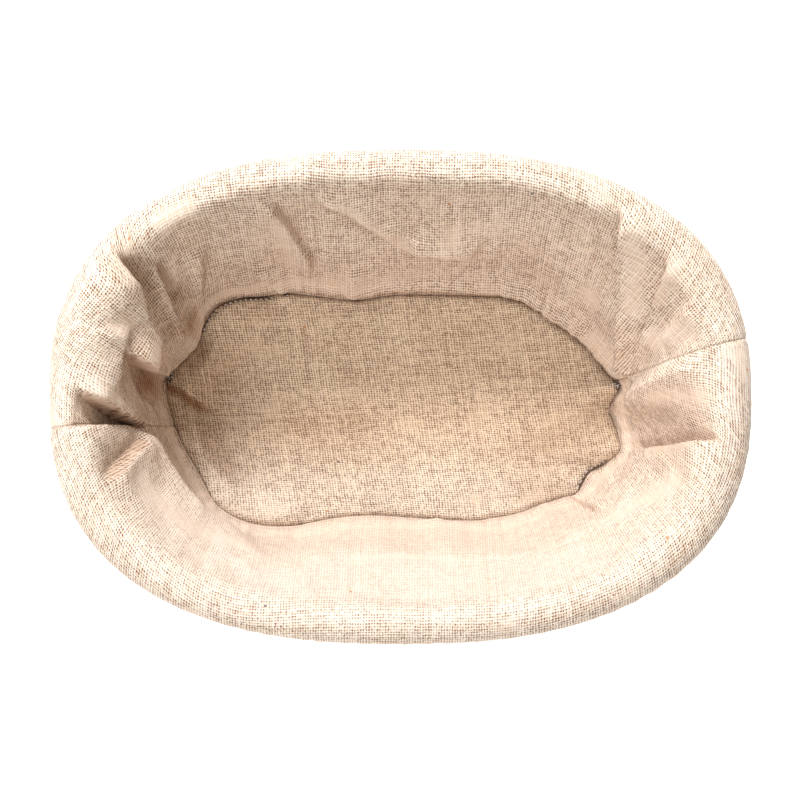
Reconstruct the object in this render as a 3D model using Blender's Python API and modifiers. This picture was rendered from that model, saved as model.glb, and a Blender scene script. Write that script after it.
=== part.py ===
"""Oval banneton: a coiled cane proofing basket with a fitted linen liner that an elastic hem holds on.

Run it with: blender --background --python part.py, or from Blender's text editor.
Metres, +Z up. The origin is on the surface that the basket stands on, at the middle of the oval.
+X runs along the oval and +Y goes to the back of the basket.

The basket is one coil: canes wound flat round a straight core for the floor, then up the wall to the rim.
A place on the coil has a level: CORE_LEVEL at the core, 0 at the turn that the basket stands on, TOP_LEVEL
at the rim. Every turn steps up to the next level at the back of the basket. The wall's turns do that one
step's length before the floor's, because the canes would meet at the corner if they stepped side by side.
"""

import math

import bmesh
import bpy
from mathutils import Vector

# The cane basket
BASKET_LENGTH = 0.210
BASKET_WIDTH = 0.147
BASKET_HEIGHT = 0.080
CANE_RADIUS = 0.0039
FLOOR_RINGS = 5  # pitches from the core to the turn that the basket stands on
TOP_LEVEL = 9
LOWER_COIL_TURNS = 5
WALL_LEAN = 0.027  # how much further out the rim is than the bottom turn
WALL_CURVE = 1.3  # over 1 makes the wall steeper towards the rim
PLANED_OFF = 0.0005  # the depth of the flat on the underside
RIM_POWER = 2.46  # the rim's plan is a superellipse of this power
STEP_SHARE = 0.12  # the share of a turn in which it steps up to the next
CLEARANCE = 0.00035  # between pieces that touch on the real basket

# The staples and the floor's cross pins
WIRE_RADIUS = 0.00035
STAPLE_LEG = 0.0050
STAPLE_BEND = 0.0008
FIRST_STAPLE = 0.05  # the staples' places, as shares of a turn
STAPLE_SHIFT = 0.20
PIN_RADIUS = 0.0011
PIN_X = 0.020
PIN_RAISE = 0.00023  # above the middle of the floor's canes

# The linen liner
CLOTH = 0.0008
THREAD_RADIUS = 0.00028
SEAM_GAP = 0.0014  # between two panels, where their thread runs
FLOOR_PANEL_HALF_WIDTH = 0.0374
SKIRT_BOTTOM = 0.0642
LEFT_SEAM_DEG = 188  # the side seams, as directions of the oval's end arcs
RIGHT_SEAM_DEG = 13
HEM_HEIGHT = 0.0066
HEM_DEPTH = 0.0028
HEM_OUTER = 0.0748  # half-width over the hem
HEM_CLOTH = 0.0006
ELASTIC_HEIGHT = 0.0040
ELASTIC_DEPTH = 0.0008

# What the driving dimensions give
RIM_HALF_WIDTH = BASKET_WIDTH / 2 - CANE_RADIUS
CORE_HALF = (BASKET_LENGTH - BASKET_WIDTH) / 2
BOTTOM_HALF_WIDTH = RIM_HALF_WIDTH - WALL_LEAN
FLOOR_PITCH = BOTTOM_HALF_WIDTH / FLOOR_RINGS
CORE_LEVEL = -FLOOR_RINGS
BOTTOM_Z = CANE_RADIUS - PLANED_OFF
RIM_Z = BASKET_HEIGHT - CANE_RADIUS
FLOOR_CLOTH_Z = BOTTOM_Z + CANE_RADIUS + CLEARANCE + CLOTH / 2
CROWN_OUT = CANE_RADIUS + CLEARANCE + WIRE_RADIUS  # from a cane's centre to a staple's crown
CLOTH_IN = CANE_RADIUS + CLEARANCE + CLOTH  # from a cane's centre to the liner's mid-surface
CLOTH_OUT = CROWN_OUT + WIRE_RADIUS + CLEARANCE + CLOTH
HEM_TOP = SKIRT_BOTTOM - SEAM_GAP

# How finely curves are divided
ARC_STEPS = 14
FRONT_STEPS = 2
BACK_STEPS = 5
RIM_ROLL_STEPS = 6
TUBE_RESOLUTION = 2
WIRE_RESOLUTION = 1
CUTTER_SIDES = 8

# Shares of a turn: the left end's arc, the front straight, the right end's arc, the back straight
MEAN_HALF_WIDTH = (RIM_HALF_WIDTH + BOTTOM_HALF_WIDTH) / 2
STRAIGHT_SHARE = 2 * CORE_HALF / (4 * CORE_HALF + 2 * math.pi * MEAN_HALF_WIDTH)
ARC_SHARE = 0.5 - STRAIGHT_SHARE


def smooth_step(value):
    value = min(max(value, 0.0), 1.0)
    return value * value * (3 - 2 * value)


def oval_point(turn, half_width, z):
    """The point at a share of a turn, counted anticlockwise from the back straight's left end."""
    turn %= 1.0
    if turn < ARC_SHARE:
        core_x, angle = -CORE_HALF, math.pi / 2 + math.pi * turn / ARC_SHARE
    elif turn < 0.5:
        core_x, angle = CORE_HALF * (2 * (turn - ARC_SHARE) / STRAIGHT_SHARE - 1), -math.pi / 2
    elif turn < 0.5 + ARC_SHARE:
        core_x, angle = CORE_HALF, math.pi * ((turn - 0.5) / ARC_SHARE - 0.5)
    else:
        core_x, angle = CORE_HALF * (1 - 2 * (turn - 0.5 - ARC_SHARE) / STRAIGHT_SHARE), math.pi / 2
    point = Vector((core_x + half_width * math.cos(angle), half_width * math.sin(angle)))
    if half_width < BOTTOM_HALF_WIDTH:
        return Vector((*point, z))
    # The floor's turns are parallel to the core, and the wall's go over smoothly to the rim's superellipse.
    along, across = point.normalized()
    length = CORE_HALF + half_width
    reach = (abs(along / length) ** RIM_POWER + abs(across / half_width) ** RIM_POWER) ** (-1 / RIM_POWER)
    rounded = Vector((along, across)) * reach
    share = smooth_step((half_width - BOTTOM_HALF_WIDTH) / WALL_LEAN)
    return Vector((*point.lerp(rounded, share), z))


def level_section(level):
    """(half-width, height) of a cane's centre at a level."""
    if level < 0:
        return (level - CORE_LEVEL) * FLOOR_PITCH, BOTTOM_Z
    rise = min(level / TOP_LEVEL, 1.0)
    return RIM_HALF_WIDTH - WALL_LEAN * (1 - rise) ** WALL_CURVE, BOTTOM_Z + rise * (RIM_Z - BOTTOM_Z)


def step_start(level):
    return 1 - STEP_SHARE if level < 0 else 1 - 2 * STEP_SHARE


def step_up(level, turn):
    return smooth_step((turn - step_start(level)) / STEP_SHARE)


def stations(first=0.0, last=1.0):
    """Shares of a turn from first to last that divide the arcs and the straights evenly."""
    marks = [ARC_SHARE * i / ARC_STEPS for i in range(ARC_STEPS)]
    marks += [ARC_SHARE + STRAIGHT_SHARE * i / FRONT_STEPS for i in range(FRONT_STEPS)]
    marks += [0.5 + ARC_SHARE * i / ARC_STEPS for i in range(ARC_STEPS)]
    marks += [0.5 + ARC_SHARE + STRAIGHT_SHARE * i / BACK_STEPS for i in range(BACK_STEPS)]
    marks += [mark + 1 for mark in marks]
    apart = ARC_SHARE / ARC_STEPS / 4
    inner = [mark for mark in marks if first + apart < mark < last - apart]
    return [first, *inner, last]


def seam_turn(degrees):
    """The share of a turn at which an end arc of the oval faces this direction."""
    return (degrees - 90) / 180 * ARC_SHARE if degrees > 90 else 0.5 + (degrees + 90) / 180 * ARC_SHARE


def new_material(name, colour, roughness, metallic=0.0):
    material = bpy.data.materials.new(name)
    material.use_nodes = True
    shader = material.node_tree.nodes["Principled BSDF"]
    shader.inputs["Base Color"].default_value = (*colour, 1.0)
    shader.inputs["Roughness"].default_value = roughness
    shader.inputs["Metallic"].default_value = metallic
    return material


def new_curve(name, points, radius, radii=None, closed=False, resolution=TUBE_RESOLUTION):
    """A round tube along points, with a share of the radius at each of them."""
    curve = bpy.data.curves.new(name, "CURVE")
    curve.dimensions = "3D"
    curve.bevel_depth = radius
    curve.bevel_resolution = resolution
    curve.use_fill_caps = not closed
    spline = curve.splines.new("POLY")
    spline.points.add(len(points) - 1)
    spline.use_cyclic_u = closed
    for i, (place, point) in enumerate(zip(spline.points, points)):
        place.co = (*point, 1.0)
        place.radius = radii[i] if radii else 1.0
    return bpy.data.objects.new(name, curve)


def add_piece(piece, material, group):
    piece.data.materials.clear()
    piece.data.materials.append(material)
    collection.objects.link(piece)
    piece.parent = group
    return piece


def mesh_from_curve(piece):
    """The same piece as a closed mesh, which takes a Boolean."""
    helpers.objects.link(piece)
    bpy.context.view_layer.update()
    evaluated = piece.evaluated_get(bpy.context.evaluated_depsgraph_get())
    mesh = bpy.data.meshes.new_from_object(evaluated)
    shape = bmesh.new()
    shape.from_mesh(mesh)
    bmesh.ops.remove_doubles(shape, verts=shape.verts, dist=0.00001)
    bmesh.ops.recalc_face_normals(shape, faces=shape.faces)
    shape.to_mesh(mesh)
    shape.free()
    name, place = piece.name, piece.matrix_world.copy()
    bpy.data.objects.remove(piece)
    made = bpy.data.objects.new(name, mesh)
    made.matrix_world = place
    return made


def new_cutter(name, start, end, radius):
    """A cylinder from start to end that is taken out of the canes."""
    middle, along = (start + end) / 2, end - start
    bpy.ops.mesh.primitive_cylinder_add(vertices=CUTTER_SIDES, radius=radius, depth=along.length, location=middle)
    cutter = bpy.context.object
    cutter.name = name
    cutter.rotation_mode = "QUATERNION"
    cutter.rotation_quaternion = along.to_track_quat("Z", "Y")
    return hide_helper(cutter)


def hide_helper(cutter):
    for owner in list(cutter.users_collection):
        owner.objects.unlink(cutter)
    cutters.objects.link(cutter)
    cutter.hide_render = True
    cutter.display_type = "WIRE"
    return cutter


def cut_away(piece):
    """Takes every cutter out of a cane: the staple and pin holes, and what the underside is planed flat with."""
    cut = piece.modifiers.new("cuts", "BOOLEAN")
    cut.operation = "DIFFERENCE"
    cut.operand_type = "COLLECTION"
    cut.collection = cutters
    cut.solver = "EXACT"


def add_cane(name, points, radii=None):
    piece = mesh_from_curve(new_curve(name, points, CANE_RADIUS, radii))
    cut_away(add_piece(piece, CANE, basket))


def coil_points(first_level, turns):
    """The centre line of whole turns from first_level up, a clearance short of the pieces that it joins end to end."""
    short = CLEARANCE / (2 * math.pi * MEAN_HALF_WIDTH)
    top_level = first_level + turns - 1
    points = []
    for level in range(first_level, top_level + 1):
        first = short if level == first_level else 0.0
        last = 1 - short if level == top_level else 1.0
        marks = stations(first, last)
        for mark in marks if level == top_level else marks[:-1]:
            points.append(oval_point(mark, *level_section(level + step_up(level, mark))))
    return points


def add_floor_core():
    """The straight cane that the coil starts round."""
    add_cane("floor_core_cane", [Vector((share * CORE_HALF, 0.0, BOTTOM_Z)) for share in (-1, -0.5, 0, 0.5, 1)])


def add_floor_coil():
    """The flat spiral. It starts as a wedge that fills the space beside the core."""
    points, radii = [], []
    side = CANE_RADIUS + CLEARANCE
    for share in (0.30, 0.45, 0.60, 0.75, 0.90):
        turn = step_start(CORE_LEVEL) + STEP_SHARE * share
        room = step_up(CORE_LEVEL, turn) * FLOOR_PITCH
        radius = min(room / 2, CANE_RADIUS)
        points.append(oval_point(turn, side + radius, BOTTOM_Z))
        radii.append(radius / CANE_RADIUS)
    spiral = coil_points(CORE_LEVEL + 1, FLOOR_RINGS - 1)
    add_cane("floor_coil_cane", points + spiral, radii + [1.0] * len(spiral))


def add_wall_coils():
    add_cane("lower_wall_coil_cane", coil_points(0, LOWER_COIL_TURNS))
    add_cane("upper_wall_coil_cane", coil_points(LOWER_COIL_TURNS, TOP_LEVEL - LOWER_COIL_TURNS))


def add_rim():
    """The top turn. Its end is shaved to a wedge that lies level on the turn below, where that steps up."""
    points = coil_points(TOP_LEVEL, 1)
    last_whole = next(i for i, mark in enumerate(stations()) if mark > step_start(TOP_LEVEL))
    points = points[:last_whole]
    radii = [1.0] * len(points)
    pitch = level_section(TOP_LEVEL)[1] - level_section(TOP_LEVEL - 1)[1]
    for share in (0.12, 0.28, 0.42, 0.54, 0.66):
        turn = step_start(TOP_LEVEL) + STEP_SHARE * share
        radius = min((pitch * (1 - step_up(TOP_LEVEL, turn)) - CLEARANCE) / 2, CANE_RADIUS)
        points.append(oval_point(turn, RIM_HALF_WIDTH, RIM_Z + CANE_RADIUS - radius))
        radii.append(radius / CANE_RADIUS)
    add_cane("rim_cane", points, radii)


def staple_places():
    """(level, turn) of each staple: two to every joint between turns, at places that alternate."""
    for level in range(TOP_LEVEL):
        first = FIRST_STAPLE + STAPLE_SHIFT * (level % 2)
        yield level, first
        yield level, first + 0.5


def add_staple(number, level, turn):
    """A wire staple from outside through two neighbouring turns, and the cutters for its two holes."""
    lower = oval_point(turn, *level_section(level))
    upper = oval_point(turn, *level_section(level + 1))
    along = (upper - lower).normalized()
    ahead = oval_point(turn + 0.01, *level_section(level)) - lower
    out = ahead.cross(along).normalized()
    name = f"wall_staple_{number:02d}"
    for end, foot in (("lower", lower), ("upper", upper)):
        inner = foot + out * (CROWN_OUT - STAPLE_LEG - CLEARANCE)
        outer = foot + out * (CROWN_OUT + WIRE_RADIUS)
        new_cutter(f"{name}_{end}_hole", inner, outer, WIRE_RADIUS + CLEARANCE)
    points = [lower + out * (CROWN_OUT - STAPLE_LEG)]
    for corner, side in ((lower, along), (upper, -along)):
        bend = []
        for degrees in (0, 45, 90):
            turned = math.radians(degrees)
            inward = STAPLE_BEND * (1 - math.sin(turned))
            sideways = STAPLE_BEND * (1 - math.cos(turned))
            bend.append(corner + out * (CROWN_OUT - inward) + side * sideways)
        points += bend if corner is lower else bend[::-1]
    points.append(upper + out * (CROWN_OUT - STAPLE_LEG))
    add_piece(new_curve(name, points, WIRE_RADIUS, resolution=WIRE_RESOLUTION), STEEL, basket)


def add_floor_pin(name, x):
    """A bamboo pin across all the floor's turns, and the cutter for its hole."""
    pin, hole = (
        [Vector((x, side * reach, BOTTOM_Z + PIN_RAISE)) for side in (-1, 1)]
        for reach in (BOTTOM_HALF_WIDTH + CANE_RADIUS / 2, BOTTOM_HALF_WIDTH + 3 * CANE_RADIUS)
    )
    new_cutter(f"{name}_hole", *hole, PIN_RADIUS + CLEARANCE)
    add_piece(new_curve(name, pin, PIN_RADIUS), BAMBOO, basket)


def add_planing_cutter():
    depth = 4 * CANE_RADIUS
    bpy.ops.mesh.primitive_cube_add(size=1, location=(0, 0, -depth / 2))
    block = bpy.context.object
    block.name = "underside_plane"
    block.scale = (2 * BASKET_LENGTH, 2 * BASKET_WIDTH, depth)
    bpy.ops.object.transform_apply(location=False, rotation=False, scale=True)
    hide_helper(block)


def liner_section():
    """(half-width, height) along the liner's wall: up from the floor seam, over the rim and down to the hem."""
    section = [(FLOOR_PANEL_HALF_WIDTH + SEAM_GAP + CLOTH / 2, FLOOR_CLOTH_Z)]
    for level in range(1, TOP_LEVEL):
        below, above = (Vector(level_section(level + shift)) for shift in (-0.5, 0.5))
        along = (above - below).normalized()
        centre = Vector(level_section(level))
        section.append(tuple(centre + Vector((-along.y, along.x)) * CLOTH_IN))
    for i in range(RIM_ROLL_STEPS + 1):
        angle = math.pi * (1 - i / RIM_ROLL_STEPS)
        reach = CLOTH_IN if angle > math.pi / 2 else CLOTH_OUT
        section.append((RIM_HALF_WIDTH + reach * math.cos(angle), RIM_Z + CLOTH_IN * math.sin(angle)))
    section.append((RIM_HALF_WIDTH + CLOTH_OUT, SKIRT_BOTTOM))
    return section


def swept_mesh(name, section, turns, close_section=False, close_turns=False):
    """Faces between copies of a section that stand at shares of a turn round the oval."""
    shape = bmesh.new()
    rows = [[shape.verts.new(oval_point(turn, *place)) for place in section] for turn in turns]
    row_pairs = list(zip(rows, rows[1:])) + ([(rows[-1], rows[0])] if close_turns else [])
    for row, following in row_pairs:
        for i in range(len(section) if close_section else len(section) - 1):
            j = (i + 1) % len(section)
            shape.faces.new((row[i], following[i], following[j], row[j]))
    bmesh.ops.recalc_face_normals(shape, faces=shape.faces)
    mesh = bpy.data.meshes.new(name)
    shape.to_mesh(mesh)
    shape.free()
    mesh.shade_smooth()
    return bpy.data.objects.new(name, mesh)


def thicken(piece, thickness, offset):
    shell = piece.modifiers.new("thickness", "SOLIDIFY")
    shell.thickness = thickness
    shell.offset = offset
    shell.use_even_offset = True


def seam_spans():
    """(first, last) turns of the front half and of the back half, short of the side seams."""
    left, right = seam_turn(LEFT_SEAM_DEG), seam_turn(RIGHT_SEAM_DEG)
    half_gap = SEAM_GAP / (2 * math.pi * MEAN_HALF_WIDTH)
    return {"front": (left + half_gap, right - half_gap), "back": (right + half_gap, left + 1 - half_gap)}


def ring_marks():
    """Shares of a whole turn at which the front half and the back half have their stations."""
    return [mark for span in seam_spans().values() for mark in stations(*span)]


def add_liner_floor():
    """The oval floor panel, which is flat."""
    outline = bpy.data.curves.new("liner_floor_panel", "CURVE")
    outline.dimensions = "2D"
    outline.fill_mode = "BOTH"
    outline.extrude = CLOTH / 2
    spline = outline.splines.new("POLY")
    marks = ring_marks()
    spline.points.add(len(marks) - 1)
    spline.use_cyclic_u = True
    for place, mark in zip(spline.points, marks):
        place.co = (*oval_point(mark, FLOOR_PANEL_HALF_WIDTH, 0.0), 1.0)
    panel = bpy.data.objects.new("liner_floor_panel", outline)
    panel.location.z = FLOOR_CLOTH_Z
    add_piece(panel, LINEN, liner)


def add_liner_walls():
    for side, (first, last) in seam_spans().items():
        wall = swept_mesh(f"liner_wall_{side}", liner_section(), stations(first, last))
        thicken(wall, CLOTH, 0.0)
        add_piece(wall, LINEN, liner)


def band_section(outer, depth, top, height):
    """The rectangle of a flat band that stands on edge, as (half-width, height) corners."""
    return [(outer, top), (outer, top - height), (outer - depth, top - height), (outer - depth, top)]


def add_hem():
    """The casings that are sewn to the liner's lower edge, and the elastic that runs through both."""
    casing = band_section(HEM_OUTER, HEM_DEPTH, HEM_TOP, HEM_HEIGHT)
    for side, (first, last) in seam_spans().items():
        tube = swept_mesh(f"hem_casing_{side}", casing, stations(first, last), close_section=True)
        thicken(tube, HEM_CLOTH, -1.0)
        add_piece(tube, LINEN, liner)
    inset = (HEM_DEPTH - ELASTIC_DEPTH) / 2
    lowered = (HEM_HEIGHT - ELASTIC_HEIGHT) / 2
    band = band_section(HEM_OUTER - inset, ELASTIC_DEPTH, HEM_TOP - lowered, ELASTIC_HEIGHT)
    elastic = swept_mesh("hem_elastic", band, ring_marks(), close_section=True, close_turns=True)
    add_piece(elastic, ELASTIC, liner)


def add_thread(name, points, closed):
    add_piece(new_curve(name, points, THREAD_RADIUS, closed=closed, resolution=WIRE_RESOLUTION), THREAD, liner)


def add_threads():
    """One thread to each seam, along the gap between the panels that it joins."""
    ring = ring_marks()
    floor_seam = FLOOR_PANEL_HALF_WIDTH + SEAM_GAP / 2
    add_thread("floor_seam_thread", [oval_point(mark, floor_seam, FLOOR_CLOTH_Z) for mark in ring], True)
    hem_seam = HEM_OUTER - HEM_DEPTH / 2
    add_thread("hem_seam_thread", [oval_point(mark, hem_seam, HEM_TOP + SEAM_GAP / 2) for mark in ring], True)
    for side, degrees in (("left", LEFT_SEAM_DEG), ("right", RIGHT_SEAM_DEG)):
        section = liner_section()
        foot, knee = Vector(section[0]), Vector(section[1])
        section[0] = tuple(foot.lerp(knee, 0.3))
        points = [oval_point(seam_turn(degrees), *place) for place in section]
        add_thread(f"side_seam_thread_{side}", points, False)


def new_collection(name):
    made = bpy.data.collections.new(name)
    bpy.context.scene.collection.children.link(made)
    return made


def new_group(name):
    group = bpy.data.objects.new(name, None)
    collection.objects.link(group)
    return group


for leftover in list(bpy.data.objects):
    bpy.data.objects.remove(leftover)

collection = new_collection("banneton")
cutters = new_collection("cutters")
helpers = new_collection("helpers")
basket = new_group("basket")
liner = new_group("liner")

CANE = new_material("cane", (0.58, 0.40, 0.22), 0.55)
BAMBOO = new_material("bamboo", (0.62, 0.47, 0.26), 0.6)
STEEL = new_material("steel", (0.62, 0.62, 0.64), 0.35, 1.0)
LINEN = new_material("linen", (0.74, 0.62, 0.48), 0.95)
THREAD = new_material("thread", (0.16, 0.10, 0.07), 0.8)
ELASTIC = new_material("elastic", (0.85, 0.84, 0.80), 0.7)

add_planing_cutter()
for number, place in enumerate(staple_places(), start=1):
    add_staple(number, *place)
add_floor_pin("floor_pin_left", -PIN_X)
add_floor_pin("floor_pin_right", PIN_X)
add_floor_core()
add_floor_coil()
add_wall_coils()
add_rim()
add_liner_floor()
add_liner_walls()
add_hem()
add_threads()
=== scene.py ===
"""Looks for the oval banneton: its cane coil, its linen liner with folds, seams and gathered hem.

Metres, in the frame's own axes: +X along the oval, +Y to the back, +Z up. A place round the oval is a turn
from 0 to 1, counted anticlockwise from the back straight's left end. A place on the liner's wall is
(turn, depth), with depth 0 on the crown of the rim and 1 at the floor seam.
"""
import math

import bpy
import numpy as np
from mathutils import Matrix, Vector


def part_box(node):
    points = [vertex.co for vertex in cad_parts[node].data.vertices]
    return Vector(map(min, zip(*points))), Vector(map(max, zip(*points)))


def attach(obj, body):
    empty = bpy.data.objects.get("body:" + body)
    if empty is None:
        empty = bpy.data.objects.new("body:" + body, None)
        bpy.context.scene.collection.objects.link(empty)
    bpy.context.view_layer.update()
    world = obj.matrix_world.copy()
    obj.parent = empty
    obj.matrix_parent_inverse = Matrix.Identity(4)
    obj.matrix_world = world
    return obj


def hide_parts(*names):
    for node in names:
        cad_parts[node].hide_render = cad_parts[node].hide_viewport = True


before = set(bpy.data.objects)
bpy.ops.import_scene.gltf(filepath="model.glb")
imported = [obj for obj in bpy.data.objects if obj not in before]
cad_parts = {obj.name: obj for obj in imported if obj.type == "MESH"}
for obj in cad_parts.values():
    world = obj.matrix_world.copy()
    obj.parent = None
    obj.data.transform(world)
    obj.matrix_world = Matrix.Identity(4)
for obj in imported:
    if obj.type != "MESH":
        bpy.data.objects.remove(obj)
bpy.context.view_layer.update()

random = np.random.default_rng(7)

MM = 0.001

# Sizes that the frame gives
RIM_LOW, RIM_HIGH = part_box("rim_cane")
PANEL_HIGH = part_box("liner_floor_panel")[1]
HEM_LOW, HEM_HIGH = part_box("hem_casing_front")
CORE_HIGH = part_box("floor_core_cane")[1]
CORE_HALF = CORE_HIGH.x
CANE_RADIUS = (RIM_HIGH.z - RIM_LOW.z) / 2
RIM_HALF_WIDTH = RIM_HIGH.x - CORE_HALF - CANE_RADIUS
RIM_Z = RIM_HIGH.z - CANE_RADIUS
BOTTOM_Z = CORE_HIGH.z - CANE_RADIUS
FLOOR_HALF_WIDTH = PANEL_HIGH.y
FLOOR_Z = PANEL_HIGH.z
HEM_TOP = HEM_HIGH.z
HEM_HEIGHT = HEM_HIGH.z - HEM_LOW.z
HEM_OUTER = HEM_HIGH.x - CORE_HALF

# The shape of the basket and its liner
TOP_LEVEL = 9  # the rim's level; the wall's lowest cane is at 0, and the floor's rings are below 0
FLOOR_RINGS = 5
LOWER_COIL_TURNS = 5
WALL_LEAN = 0.027  # how much further out the rim is than the wall's lowest cane
WALL_CURVE = 1.3
RIM_POWER = 2.46  # how square the rim's oval is; 2 is an ellipse
STEP_SHARE = 0.12  # the share of a turn over which a cane climbs to the next level
CLEARANCE = 0.00035
CLOTH = 0.0008
SEAM_GAP = 0.0014
HEM_DEPTH = 0.0028
STAPLE_STANDS_OUT = 0.00105
LEFT_SEAM_DEG = 188
RIGHT_SEAM_DEG = 13
BOTTOM_HALF_WIDTH = RIM_HALF_WIDTH - WALL_LEAN
FLOOR_PITCH = BOTTOM_HALF_WIDTH / FLOOR_RINGS
CORE_LEVEL = -FLOOR_RINGS
MEAN_HALF_WIDTH = (RIM_HALF_WIDTH + BOTTOM_HALF_WIDTH) / 2
STRAIGHT_SHARE = 2 * CORE_HALF / (4 * CORE_HALF + 2 * math.pi * MEAN_HALF_WIDTH)
ARC_SHARE = 0.5 - STRAIGHT_SHARE

# The cloth's grid and its own measure
COLUMNS = 860  # round a whole turn
WALL_ROWS = 84  # from the floor seam to the crown
ROLL_ROWS = 24  # from the crown to the hem
FLOOR_COLUMNS = 400
FLOOR_ROWS = 90
CLOTH_ROUND = 0.500  # how much cloth goes round a whole turn

# How far apart the linen's threads are
PITCH_ROUND = 0.00082  # the wall's threads that run down, counted round it
PITCH_DOWN = 0.00090  # the wall's threads that run round it
PITCH_FLOOR_ALONG = 0.00087
PITCH_FLOOR_ACROSS = 0.00062
FLOOR_GRAIN = math.radians(9)  # how far the floor's crosswise threads are turned, the others a third of it
SMOOTHING_PASSES = 300  # how much the threads that run round are straightened
FAN_SHARE = 0.7  # how far the wall's threads fan out towards the rim
STEEP_SHARE = 0.58  # how much of a drop counts where the cloth is pulled open down the inside

# How the cloth lies
WALL_THICKNESS, FLOOR_THICKNESS, HEM_THICKNESS = 0.7 * MM, 0.6 * MM, 0.5 * MM
UNDULATION = 0.40 * MM
PUCKER = 0.30 * MM
PRESSED_IN = 0.25 * MM  # how far the wall's cloth can give towards the canes
SEWN_SHARE = 0.055  # how much of the wall the floor seam's stitches hold down
LIP_HEIGHT, LIP_SHARE = 0.060, 0.034  # where on the wall the cloth rolls in over the seam
TUCK, TUCK_WIDTH = 0.45 * MM, 0.7 * MM  # how the wall panels turn under at the side seams
PANEL_GAP = 0.01 * MM
FRONT = 0.43  # the turn of the front's middle
FLOOR_CENTRE = 0.012  # the share of the floor inside its innermost ring of points

# Stitches
STITCH = 0.0019  # how long one is, with the gap after it
HEM_STITCH = 0.0026
THREAD_RADIUS, OPEN_RADIUS, END_RADIUS = 0.17 * MM, 0.30 * MM, 0.16 * MM
STITCH_RISE = np.array([-0.30, -0.05, 0.14, 0.18, 0.14, -0.05, -0.30]) * MM  # a stitch goes in at both ends
STITCH_TAPER = np.array([0.7, 1, 1, 1, 1, 1, 0.7])
OPEN_STITCHES = [(0.018, 0.024), (0.034, 0.114), (0.155, 0.166), (0.594, 0.634), (0.700, 0.712)]  # turns
TANGLES = [0.161, 0.7065]  # the turns where thread ends are left in the seam

# Soft lights that shine at the basket: azimuth and elevation in degrees, size, power and colour
LIGHT_DISTANCE = 1.3
LIGHTS = {
    "key": (104, 44, 0.30, 19, (1.0, 0.965, 0.95)),
    "fill": (150, 62, 0.6, 6, (1.0, 1.0, 1.0)),
    "front": (243, 50, 0.6, 7.2, (1.0, 0.98, 0.95)),
}
WORLD_COLOUR, WORLD_STRENGTH = (1.0, 0.94, 0.87, 1.0), 0.28


def smooth_step(value):
    value = np.clip(value, 0.0, 1.0)
    return value * value * (3 - 2 * value)


def oval(turn, half_width):
    """Plan points at shares of a turn, as part of the floor's parallel turns or the wall's rounder ones."""
    turn, half_width = np.broadcast_arrays(np.mod(turn, 1.0), half_width)
    stretches = [turn < ARC_SHARE, turn < 0.5, turn < 0.5 + ARC_SHARE]
    front_x = CORE_HALF * (2 * (turn - ARC_SHARE) / STRAIGHT_SHARE - 1)
    back_x = CORE_HALF * (1 - 2 * (turn - 0.5 - ARC_SHARE) / STRAIGHT_SHARE)
    core_x = np.select(stretches, [-CORE_HALF, front_x, CORE_HALF], back_x)
    left_angle = math.pi * (0.5 + turn / ARC_SHARE)
    right_angle = math.pi * ((turn - 0.5) / ARC_SHARE - 0.5)
    angle = np.select(stretches, [left_angle, -math.pi / 2, right_angle], math.pi / 2)
    x, y = core_x + half_width * np.cos(angle), half_width * np.sin(angle)
    far = np.maximum(np.hypot(x, y), 1e-9)
    length, width = CORE_HALF + half_width, np.maximum(half_width, 1e-6)
    reach = (np.abs(x / far / length) ** RIM_POWER + np.abs(y / far / width) ** RIM_POWER) ** (-1 / RIM_POWER)
    share = smooth_step((half_width - BOTTOM_HALF_WIDTH) / WALL_LEAN)
    return x + share * (x / far * reach - x), y + share * (y / far * reach - y)


def level_section(level):
    """(half-width, height) of a cane's centre at a level."""
    rise = np.clip(level / TOP_LEVEL, 0.0, 1.0)
    wall = RIM_HALF_WIDTH - WALL_LEAN * (1 - rise) ** WALL_CURVE
    return np.where(level < 0, (level - CORE_LEVEL) * FLOOR_PITCH, wall), BOTTOM_Z + rise * (RIM_Z - BOTTOM_Z)


def step_start(level):
    """The share of a turn at which a cane starts to climb to the next level."""
    return np.where(np.less(level, 0), 1 - STEP_SHARE, 1 - 2 * STEP_SHARE)


def step_up(level, turn):
    return smooth_step((turn - step_start(level)) / STEP_SHARE)


def seam_turn(degrees):
    """The share of a turn at which an end arc of the oval faces this direction."""
    return (degrees - 90) / 180 * ARC_SHARE if degrees > 90 else 0.5 + (degrees + 90) / 180 * ARC_SHARE


LEFT_SEAM, RIGHT_SEAM = seam_turn(LEFT_SEAM_DEG), seam_turn(RIGHT_SEAM_DEG)


def lengths_along(path):
    """How far along a path each of its points is."""
    return np.concatenate([[0], np.cumsum(np.linalg.norm(np.diff(path, axis=0), axis=1))])


def turns_from(turn, mark):
    """How far round from a mark, the short way."""
    return (turn - mark + 0.5) % 1.0 - 0.5


def waves(along, across, longest, shortest, count=24):
    """Soft irregular noise between about -1 and 1, from plane waves of many directions."""
    total = np.zeros(np.broadcast(along, across).shape)
    for _ in range(count):
        length = longest * (shortest / longest) ** random.random()
        direction = random.random() * math.pi
        phase = random.random() * 2 * math.pi
        position = along * math.cos(direction) + across * math.sin(direction)
        total = total + np.sin(2 * math.pi * position / length + phase)
    return total / math.sqrt(count)


def ring_waves(cycles, count=7):
    """A function of the turn: irregular noise that meets itself, with about this many cycles."""
    parts = [(round(cycles * (0.6 + 0.8 * random.random())), random.random()) for _ in range(count)]
    return lambda turn: sum(np.sin(2 * math.pi * (n * turn + phase)) for n, phase in parts) / math.sqrt(count)


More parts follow.
